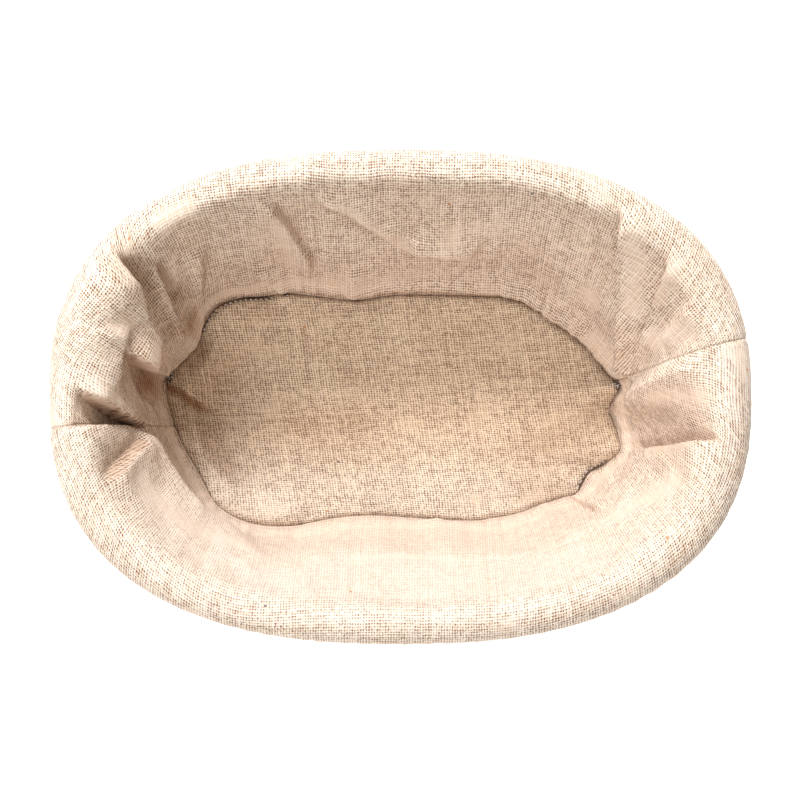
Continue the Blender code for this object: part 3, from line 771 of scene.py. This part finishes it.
# How much shade is painted on the wall's cloth right beside the floor seam, as (turn, how much) marks
SEAM_SHADE = [(0, 0.35), (0.12, 0.55), (0.2, 0.25), (0.3, 0.12), (0.55, 0.12), (0.68, 0.30), (0.73, 0.65),
              (0.85, 0.65), (0.94, 0.45), (1, 0.35)]


def spot(turn, depth, place, width, height, power):
    """1 at a place on the wall, falling to 0 past its half-widths in millimetres."""
    along = turns_from(turn, place[0]) * CLOTH_ROUND / (width * MM)
    down = (depth - place[1]) * WALL_LENGTH / (height * MM)
    return np.exp(-np.abs(along) ** power - np.abs(down) ** power)


def worn_share(turn, depth):
    """How much shade is painted on the cloth, from 0 to 1: a little towards the floor, more beside the seam
    and in hollows.
    """
    from_seam = (1 - depth) * WALL_LENGTH / MM
    beside = np.interp(np.mod(turn, 1.0), *np.transpose(SEAM_SHADE))
    worn = 0.26 * smooth_step((depth - 0.45) / 0.45)
    worn = worn + beside * np.exp(-(from_seam / (2.0 + 3.0 * beside)) ** 2)
    for place, width, height, much in PAINTED_SHADE_PLACES:
        worn = np.maximum(worn, much * spot(turn, depth, place, width, height, 2.4))
    return np.clip(worn, 0, 1)


def frontness(turn, times=1):
    """1 at the front, 0 at the back, or with times 2, 0 at both and 1 at the ends."""
    return 0.5 - 0.5 * np.cos(2 * times * math.pi * (turn - FRONT - 0.5))


def faded_share(turn, depth):
    """How much the wall's cloth is paled by painted highlight, from 0 to 1: much of the lit front."""
    return smooth_step(frontness(turn) * 2 - 0.9) * smooth_step((depth + 0.25) / 0.5)


def weave_hidden_by_wear_and_light(turn, depth):
    """How much of the weave is hidden, from 0 to 1: rubbed in bands and patches, and over much of the lit
    front as painted light that washes the weave out.
    """
    most = 0.70 * faded_share(turn, depth)
    for band in RUBBED_BANDS:
        most = np.maximum(most, band.on_wall(turn, depth)[0] / MM)
    return np.clip(most, 0, 0.95)


def seam_offset(turns):
    """How far out and up the floor seam lies from its even oval."""
    out = SEAM_PLACES(turns) * MM
    return out, np.interp(out, [0, 2.7 * MM, 8 * MM], [0, 5.3 * MM, 15 * MM])


def slack(turn, depth):
    """How far the cloth hangs clear of the canes: more at the front and the ends than at the back."""
    most = (1.6 + 0.8 * frontness(turn) + 1.0 * frontness(turn, 2)) * MM
    return most * np.sin(math.pi * np.clip(depth, 0, 1) ** 0.7) ** 1.1


def random_directions(count, longest, shortest):
    """Waves in space, as (direction, length, phase)."""
    made = []
    for _ in range(count):
        direction = random.normal(size=3)
        size = longest * (shortest / longest) ** random.random()
        made.append((direction / np.linalg.norm(direction), size, random.random() * 2 * math.pi))
    return made


NOISE_WAVES = random_directions(30, 0.050, 0.009)
PUCKERS = ring_waves(62)
HEM_RIPPLES = ring_waves(78)


def soft_noise(turn, down):
    """Shallow undulation that meets itself all round."""
    x, y = (wave(2 * math.pi * turn) * CLOTH_ROUND / 6.3 for wave in (np.cos, np.sin))
    total = np.zeros(turn.shape)
    for direction, size, phase in NOISE_WAVES:
        position = x * direction[0] + y * direction[1] + down * direction[2]
        total = total + np.sin(2 * math.pi * position / size + phase)
    return total / math.sqrt(len(NOISE_WAVES))


def gathers(turn, depth):
    """Small puckers where the wall's longer edge is eased into the floor seam."""
    return PUCKER * PUCKERS(turn) * np.exp(-((1 - depth) / 0.16) ** 1.5) * np.clip(depth, 0, 1)


def relief(turn, depth):
    """How far the wall's cloth stands off its section and shifts round and down it, and how much shade is
    painted on it.
    """
    stands, worn = slack(turn, depth), worn_share(turn, depth)
    shift_turn, shift_depth = np.zeros(turn.shape), np.zeros(turn.shape)
    for fold in WALL_FOLDS:
        height, along, down, crease = fold.on_wall(turn, depth)
        stands = stands + height
        shift_turn, shift_depth = shift_turn + along, shift_depth + down
        # Painted shade in each fold's trough
        worn = np.maximum(worn, 0.75 * crease)
    stands = stands + UNDULATION * soft_noise(turn, depth * WALL_LENGTH) * smooth_step(depth / 0.15)
    stands = stands + gathers(turn, depth)
    for place, width, height, rise in WALL_PILLOWS:
        stands = stands + rise * MM * spot(turn, depth, place, width, height, 3)
    # The cloth can't pass through the canes, and stays sewn down at the seam
    stands = np.where(stands < 0, -PRESSED_IN * np.tanh(-stands / PRESSED_IN), stands)
    sewn = smooth_step((1 - depth) / SEWN_SHARE)
    return stands * sewn, shift_turn * sewn, shift_depth * sewn, worn


def thread_counts(points, turns, up, depth):
    """The wall's UVs: how many threads round it and down it each point is."""
    # Threads that run round lie further apart where the wall is steep and the cloth is pulled open
    step = np.diff(points, axis=0, prepend=points[:1])
    steep = np.where(depth > 0, STEEP_SHARE, 1.0)
    count = np.cumsum(np.sqrt(step[..., 0] ** 2 + step[..., 1] ** 2 + (steep * step[..., 2]) ** 2), axis=0)
    for _ in range(SMOOTHING_PASSES):
        count[:, 1:-1] = (count[:, :-2] + 2 * count[:, 1:-1] + count[:, 2:]) / 4
        count[:, 0], count[:, -1] = count[:, 1], count[:, -2]
    # Threads that run down fan out from each panel's middle, because the cloth is longer round the rim
    flat_x, flat_y = oval(turns[None], np.interp(up[:, :1], SECTION_MARKS, SECTION[0]))
    steps = np.hypot(*(np.diff(flat, axis=1, prepend=flat[:, :1]) for flat in (flat_x, flat_y)))
    along = np.cumsum(steps, axis=1)
    along = along - along[:, len(turns) // 2][:, None]
    plain = (turns - turns[len(turns) // 2]) * CLOTH_ROUND
    return np.stack([(plain + FAN_SHARE * (along - plain)) / PITCH_ROUND, count / PITCH_DOWN], axis=-1)


def wall_surface(turns):
    """The wall's cloth over these turns: points, UVs and measures, in rows from the floor seam to the hem."""
    turn, up = np.meshgrid(turns, SECTION_MARKS)
    depth = 1 - up
    measures = {"rubbed_and_lit_smooth": weave_hidden_by_wear_and_light(turn, depth), "faded": faded_share(turn, depth)}
    stands, shift_turn, shift_depth, measures["worn"] = relief(turn, depth)
    turn = turn + shift_turn / CLOTH_ROUND
    up = np.where(depth > 0, np.maximum(up - shift_depth / WALL_LENGTH, 0), up)

    half_width, height = (np.interp(up, SECTION_MARKS, row) for row in SECTION)
    tangents = np.gradient(SECTION, axis=1)
    tangents /= np.linalg.norm(tangents, axis=0)
    lift, out = np.interp(up, SECTION_MARKS, tangents[0]), -np.interp(up, SECTION_MARKS, tangents[1])
    # The foot follows the floor seam, in over the floor or up the wall
    seam_out, seam_up = seam_offset(turn)
    follow = np.clip(1 - up, 0, 1) ** 2.6
    lip = SEAM_LIP(turn) * MM * np.exp(-((up - LIP_HEIGHT) / LIP_SHARE) ** 2)
    # Outside, the elastic draws the cloth into ripples that die away towards the crown
    outside = smooth_step((-depth - 0.25) / 0.75) * (0.38 * HEM_RIPPLES(turn) + 0.1) * MM
    # Both panels turn under at the side seams
    from_seams = [turns_from(turn, seam) * CLOTH_ROUND for seam in (LEFT_SEAM, RIGHT_SEAM)]
    tuck = sum(TUCK * np.exp(-(away / TUCK_WIDTH) ** 2) for away in from_seams)
    half_width = half_width + follow * seam_out - lip + out * (stands + outside - tuck)
    height = np.maximum(height + follow * seam_up + lift * (stands - tuck), FLOOR_Z - 0.4 * MM)
    x, y = oval(turn, half_width)
    points = np.stack([x, y, height], axis=-1)
    return points, thread_counts(points, turns, up, depth), measures


def add_wall(side, first, last):
    """One wall panel, with its turned edges a hair apart at the side seams."""
    gap = PANEL_GAP / CLOTH_ROUND
    turns = np.linspace(first + gap, last - gap, round(COLUMNS * (last - first)))
    points, uvs, measures = wall_surface(turns)
    # Rows run from the hem to the floor seam, so that the cloth thickens towards the canes
    grids = [(points[::-1], uvs[::-1], False, ())]
    measures = {name: values[::-1] for name, values in measures.items()}
    return new_piece(f"linen_wall_{side}", LINEN, "liner", [f"liner_wall_{side}"], "linen", grids,
                     WALL_THICKNESS, **measures)


# On the floor the paths are (x, y) in millimetres, and right and left are swapped
FLOOR_FOLDS = [
    Fold([(-78, 9), (-71, 5.5), (-65, 1.5), (-57, -0.5)], 3.8, 7, 1.3, 3.8, 6, "left", (0.0, 0.45)),
    Fold([(-60, 26), (-63, 16), (-67, 9)], 2.2, 4, 3, 0.8, 5, "left", (0.3, 0.1)),
    Fold([(-71, -2), (-66, -12), (-61, -21), (-52, -29)], 1.6, 6, 3, 1.2, 7, "right", (0.3, 0.3)),
    Fold([(-60, 14), (-40, 5), (-16, 3), (12, -2)], 0.9, 14, 9, 0.5, 14, "left", (0.5, 0.5)),
    Fold([(66, 6), (55, -3), (40, -8), (18, -10)], 1.2, 9, 7, 0.7, 10, "right", (0.1, 0.6)),
    Fold([(56, -26), (44, -20), (28, -18)], 1.1, 7, 5, 0.5, 8, "right", (0.1, 0.6)),
]


def add_floor_panel():
    """The floor panel: rings of points from the seam in to a small one in the middle."""
    turns = np.linspace(0, 1, FLOOR_COLUMNS, endpoint=False)
    out, climb = seam_offset(turns)
    share = np.linspace(1, FLOOR_CENTRE, FLOOR_ROWS)[:, None]
    x, y = (share * edge for edge in oval(turns, FLOOR_HALF_WIDTH + SEAM_GAP / 2 + out))
    rise = climb * smooth_step((share - 0.72) / 0.28) ** 1.2
    stands = 0.35 * MM * waves(x, y, 0.060, 0.014)
    # Painted shade: a thin band beside the floor seam, more towards the back, and the troughs of the floor's
    # folds
    worn = 0.08 + 0.22 * smooth_step((y / FLOOR_HALF_WIDTH + 0.6) / 1.2)
    worn = worn * np.exp(-((1 - share) / 0.030) ** 2)
    # Painted highlight: the floor's front, where the key light falls, is paled
    faded = smooth_step((-y / FLOOR_HALF_WIDTH - 0.10) / 0.65)
    for fold in FLOOR_FOLDS:
        height, _, _, crease = fold.shape(x / MM, y / MM, np.array([MM, MM]))
        stands = stands + height
        worn = np.maximum(worn, crease)
    inside, lip = smooth_step((1 - share) / 0.10), smooth_step((1 - share) / 0.035)
    stands = np.maximum(stands, -0.3 * MM - 0.5 * rise) * inside
    z = FLOOR_Z + 0.5 * MM * lip + rise + stands - 0.4 * MM * (1 - lip)
    u = (x * math.cos(FLOOR_GRAIN) + y * math.sin(FLOOR_GRAIN)) / PITCH_FLOOR_ALONG
    v = (y * math.cos(FLOOR_GRAIN / 3) - x * math.sin(FLOOR_GRAIN / 3)) / PITCH_FLOOR_ACROSS
    uvs = np.stack([u, v], axis=-1)
    grid = np.stack([x, y, z], axis=-1), np.concatenate([uvs, uvs[:, :1]], axis=1), True, (-1,)
    return new_piece("linen_floor", SHADED_FLOOR_LINEN, "liner", ["liner_floor_panel"], "linen", [grid],
                     FLOOR_THICKNESS, worn=worn, faded=faded)


def stitch_grids(path, ups, pitch=STITCH, share=0.8, radius=THREAD_RADIUS):
    """Short stitches along a path: each rises out of the cloth, lies on it and goes in again."""
    length = lengths_along(path)
    for start in np.arange(0, length[-1] - pitch, pitch):
        places = start + np.linspace(0, pitch * share, len(STITCH_RISE))
        line, up = (np.transpose([np.interp(places, length, row) for row in rows.T]) for rows in (path, ups))
        yield tube_grid(line + up * STITCH_RISE[:, None], radius * STITCH_TAPER, 6)


def thread_ends(turns, count):
    """Small tangles of thread ends at these places on the floor seam."""
    for turn in turns:
        middle = seam_line(turn - 0.001, turn + 0.001, 0.4 * MM, 0.9 * MM)[0][4]
        for _ in range(count):
            start, end = random.normal(size=(2, 3)) * 0.8 * MM
            t = np.linspace(-1, 1, 9)[:, None]
            yield tube_grid(middle + start * t + end * (1 - t * t) * 0.7, END_RADIUS, 6)


def add_stitches(name, nodes, paths, material, extra=(), **settings):
    stitches = [grid for line in paths for grid in stitch_grids(*line, **settings)]
    return new_piece(name, material, "liner", nodes, "thread", [*extra, *stitches])


def seam_line(first, last, inward, lift):
    """A stretch of the floor seam, with the direction that its stitches stand out in."""
    turns = np.linspace(first, last, max(round(700 * (last - first)), 8))
    out, climb = seam_offset(turns)
    x, y = oval(turns, FLOOR_HALF_WIDTH + SEAM_GAP / 2 + out - inward)
    inner_x, inner_y = oval(turns, FLOOR_HALF_WIDTH + out - 4 * MM)
    ups = np.column_stack([inner_x - x, inner_y - y, 0 * x + 5 * MM])
    ups /= np.linalg.norm(ups, axis=1, keepdims=True)
    return np.column_stack([x, y, FLOOR_Z + climb + lift]), ups


def side_line(seam, below=0.75 * MM):
    """A side seam's line, just under the two panels' turned edges."""
    points = wall_surface(np.array([seam - 0.0002, seam, seam + 0.0002]))[0]
    ups = np.cross(np.gradient(points[:, 1], axis=0), points[:, 2] - points[:, 0])
    ups /= np.linalg.norm(ups, axis=1, keepdims=True)
    return points[3:, 1] - ups[3:] * below, ups[3:]


def hem_line():
    turns = np.linspace(0, 1, 400)
    x, y = oval(turns, HEM_OUTER + (0.55 * HEM_RIPPLES(turns) - 0.15) * MM)
    far = np.hypot(x, y)
    return np.column_stack([x, y, 0 * x + HEM_TOP + 0.2 * MM]), np.column_stack([x / far, y / far, 0 * x])


def add_hem(side, first, last):
    """One hem casing: a flat tunnel of cloth, ruffled by the elastic that runs through it."""
    angles = np.linspace(0, 2 * math.pi, 33)
    # An oblong with round corners
    across, upright = (np.sign(wave(angles)) * np.abs(wave(angles)) ** 0.55 for wave in (np.cos, np.sin))
    turns = np.linspace(first, last, round(COLUMNS * (last - first)))
    turn, across = np.meshgrid(turns, across * HEM_DEPTH / 2)
    ruffle = HEM_RIPPLES(turn)
    fuller = 1 + 0.18 * np.sin(2 * math.pi * (5 * turn) + 1) * ruffle
    middle = HEM_OUTER - HEM_DEPTH / 2 + 0.35 * MM * ruffle
    x, y = oval(turn, middle + across * (1 + 0.25 * np.abs(ruffle)))
    upright = upright[:, None] * HEM_HEIGHT / 2 * fuller * 0.97
    z = HEM_TOP - HEM_HEIGHT / 2 + upright + 0.25 * MM * HEM_RIPPLES(turn + 0.3)
    around = angles[:, None] / math.pi * (HEM_HEIGHT + HEM_DEPTH) / PITCH_DOWN
    uvs = np.stack([turn * CLOTH_ROUND * 1.25 / PITCH_ROUND, around + 0 * turn], axis=-1)
    return new_piece(f"linen_hem_{side}", LINEN, "liner", [f"hem_casing_{side}"], "linen",
                     [(np.stack([x, y, z], axis=-1), uvs, False, ())], HEM_THICKNESS, offset=0.0)


def add_liner():
    spans = {"front": (LEFT_SEAM, RIGHT_SEAM), "back": (RIGHT_SEAM, LEFT_SEAM + 1)}
    floor = add_floor_panel()
    walls = {side: add_wall(side, *span) for side, span in spans.items()}
    hems = {side: add_hem(side, *span) for side, span in spans.items()}
    # The floor seam's stitches lie open in a few places and are drawn into the seam elsewhere
    ends = [0, *(mark for span in OPEN_STITCHES for mark in span), 1]
    lines = [seam_line(first, last, *((0.60 * MM, 0.60 * MM) if i % 2 else (0.0, -1.60 * MM)))
             for i, (first, last) in enumerate(zip(ends, ends[1:]))]
    floor_stitches = add_stitches("stitches_floor", ["floor_seam_thread"], lines, THREAD,
                                  thread_ends(TANGLES, 8), radius=OPEN_RADIUS)
    white = [seam_line(first, last, 0.75 * MM, 1.05 * MM) for first, last in OPEN_STITCHES]
    white_stitches = add_stitches("stitches_floor_white", [], white, WHITE_THREAD,
                                  thread_ends(TANGLES, 3), share=0.35)
    left = add_stitches("stitches_left", ["side_seam_thread_left"], [side_line(LEFT_SEAM)], THREAD)
    right = add_stitches("stitches_right", ["side_seam_thread_right"], [side_line(RIGHT_SEAM)], THREAD)
    hem_stitches = add_stitches("stitches_hem", ["hem_seam_thread"], [hem_line()], THREAD, pitch=HEM_STITCH)


# Setting

def add_stage():
    bpy.ops.mesh.primitive_plane_add(size=60.0, location=(0, 0, -0.3 * MM))
    floor = bpy.context.object
    floor.name = "studio_floor"
    s = Shader("studio_floor")
    paper = s.mix(s.noise(s.place(), 3.0), (0.92, 0.92, 0.92), (0.95, 0.95, 0.95))
    s.put(s.principled.inputs["Emission Color"], paper)
    floor.data.materials.append(s.finish(paper, 0.9, Emission_Strength=0.85))
    # The floor is clear from below, so that the basket's underside can be looked at
    below = s.result(s.node("ShaderNodeNewGeometry"), "Backfacing")
    clear = s.result(s.node("ShaderNodeBsdfTransparent"))
    from_below = s.node("ShaderNodeMixShader", (below, s.result(s.principled), clear))
    s.put(s.tree.nodes["Material Output"].inputs["Surface"], s.result(from_below))
    world = bpy.data.worlds.new("studio")
    bpy.context.scene.world = world
    world.use_nodes = True
    world.node_tree.nodes["Background"].inputs["Color"].default_value = WORLD_COLOUR
    world.node_tree.nodes["Background"].inputs["Strength"].default_value = WORLD_STRENGTH


def add_light(name, azimuth, elevation, size, power, colour):
    """A soft light that stands in this direction and shines at the basket."""
    light = bpy.data.lights.new(name, "AREA")
    light.shape = "DISK"
    light.size = size
    light.energy = power
    light.color = colour
    lamp = bpy.data.objects.new(name, light)
    azimuth, elevation = math.radians(azimuth), math.radians(elevation)
    level = math.cos(elevation)
    direction = Vector((math.cos(azimuth) * level, math.sin(azimuth) * level, math.sin(elevation)))
    lamp.location = direction * LIGHT_DISTANCE + Vector((0, 0, RIM_Z / 2))
    lamp.rotation_euler = direction.to_track_quat("Z", "Y").to_euler()
    bpy.context.scene.collection.objects.link(lamp)


def add_camera():
    """Nearly straight above, tipped a little towards the front."""
    distance, view_width = 0.78, 0.2435
    side, front = math.radians(0.3), math.radians(3.9)
    back = Vector((math.sin(side), -math.sin(front), 0))
    back.z = math.sqrt(1 - back.length_squared)
    data = bpy.data.cameras.new("camera")
    data.lens = data.sensor_width * distance / view_width
    camera = bpy.data.objects.new("camera", data)
    aim = Vector((0, -0.0016, RIM_Z))
    camera.location = aim + back * distance
    right = Vector((0, 1, 0)).cross(back).normalized()
    camera.rotation_euler = Matrix((right, back.cross(right), back)).transposed().to_euler()
    bpy.context.scene.collection.objects.link(camera)
    bpy.context.scene.camera = camera


# Each linen's pale colour is the painted highlight that pales its lit front
LINEN = linen("linen", light=(0.965, 0.855, 0.74), dark=(0.75, 0.575, 0.435), hole=(0.22, 0.10, 0.045),
              pale=(0.93, 0.845, 0.765))
# The floor's linen is a darker, warmer copy of the wall's linen: painted shade for the floor that lies in
# shade
SHADED_FLOOR_LINEN = linen("floor_linen_painted_shade", light=(0.85, 0.68, 0.51), dark=(0.57, 0.405, 0.27),
                    hole=(0.15, 0.07, 0.03), pale=(0.90, 0.82, 0.73))
CANE = cane("cane")
THREAD = thread("brown_thread", (0.17, 0.10, 0.06), (0.05, 0.028, 0.018))
WHITE_THREAD = thread("white_thread", (0.85, 0.82, 0.80), (0.50, 0.47, 0.46))
CARRIED_OVER = {
    "wall_staple": steel("staple_wire"),
    "floor_pin": bamboo("bamboo"),
    "hem_elastic": braid("elastic"),
}

add_camera()
add_basket()
add_liner()
for node_name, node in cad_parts.items():
    for start, material in CARRIED_OVER.items():
        if node_name.startswith(start):
            node.data.materials.clear()
            node.data.materials.append(material)
add_stage()
for name, light in LIGHTS.items():
    add_light(name, *light)
bpy.context.scene.view_settings.view_transform = "Standard"
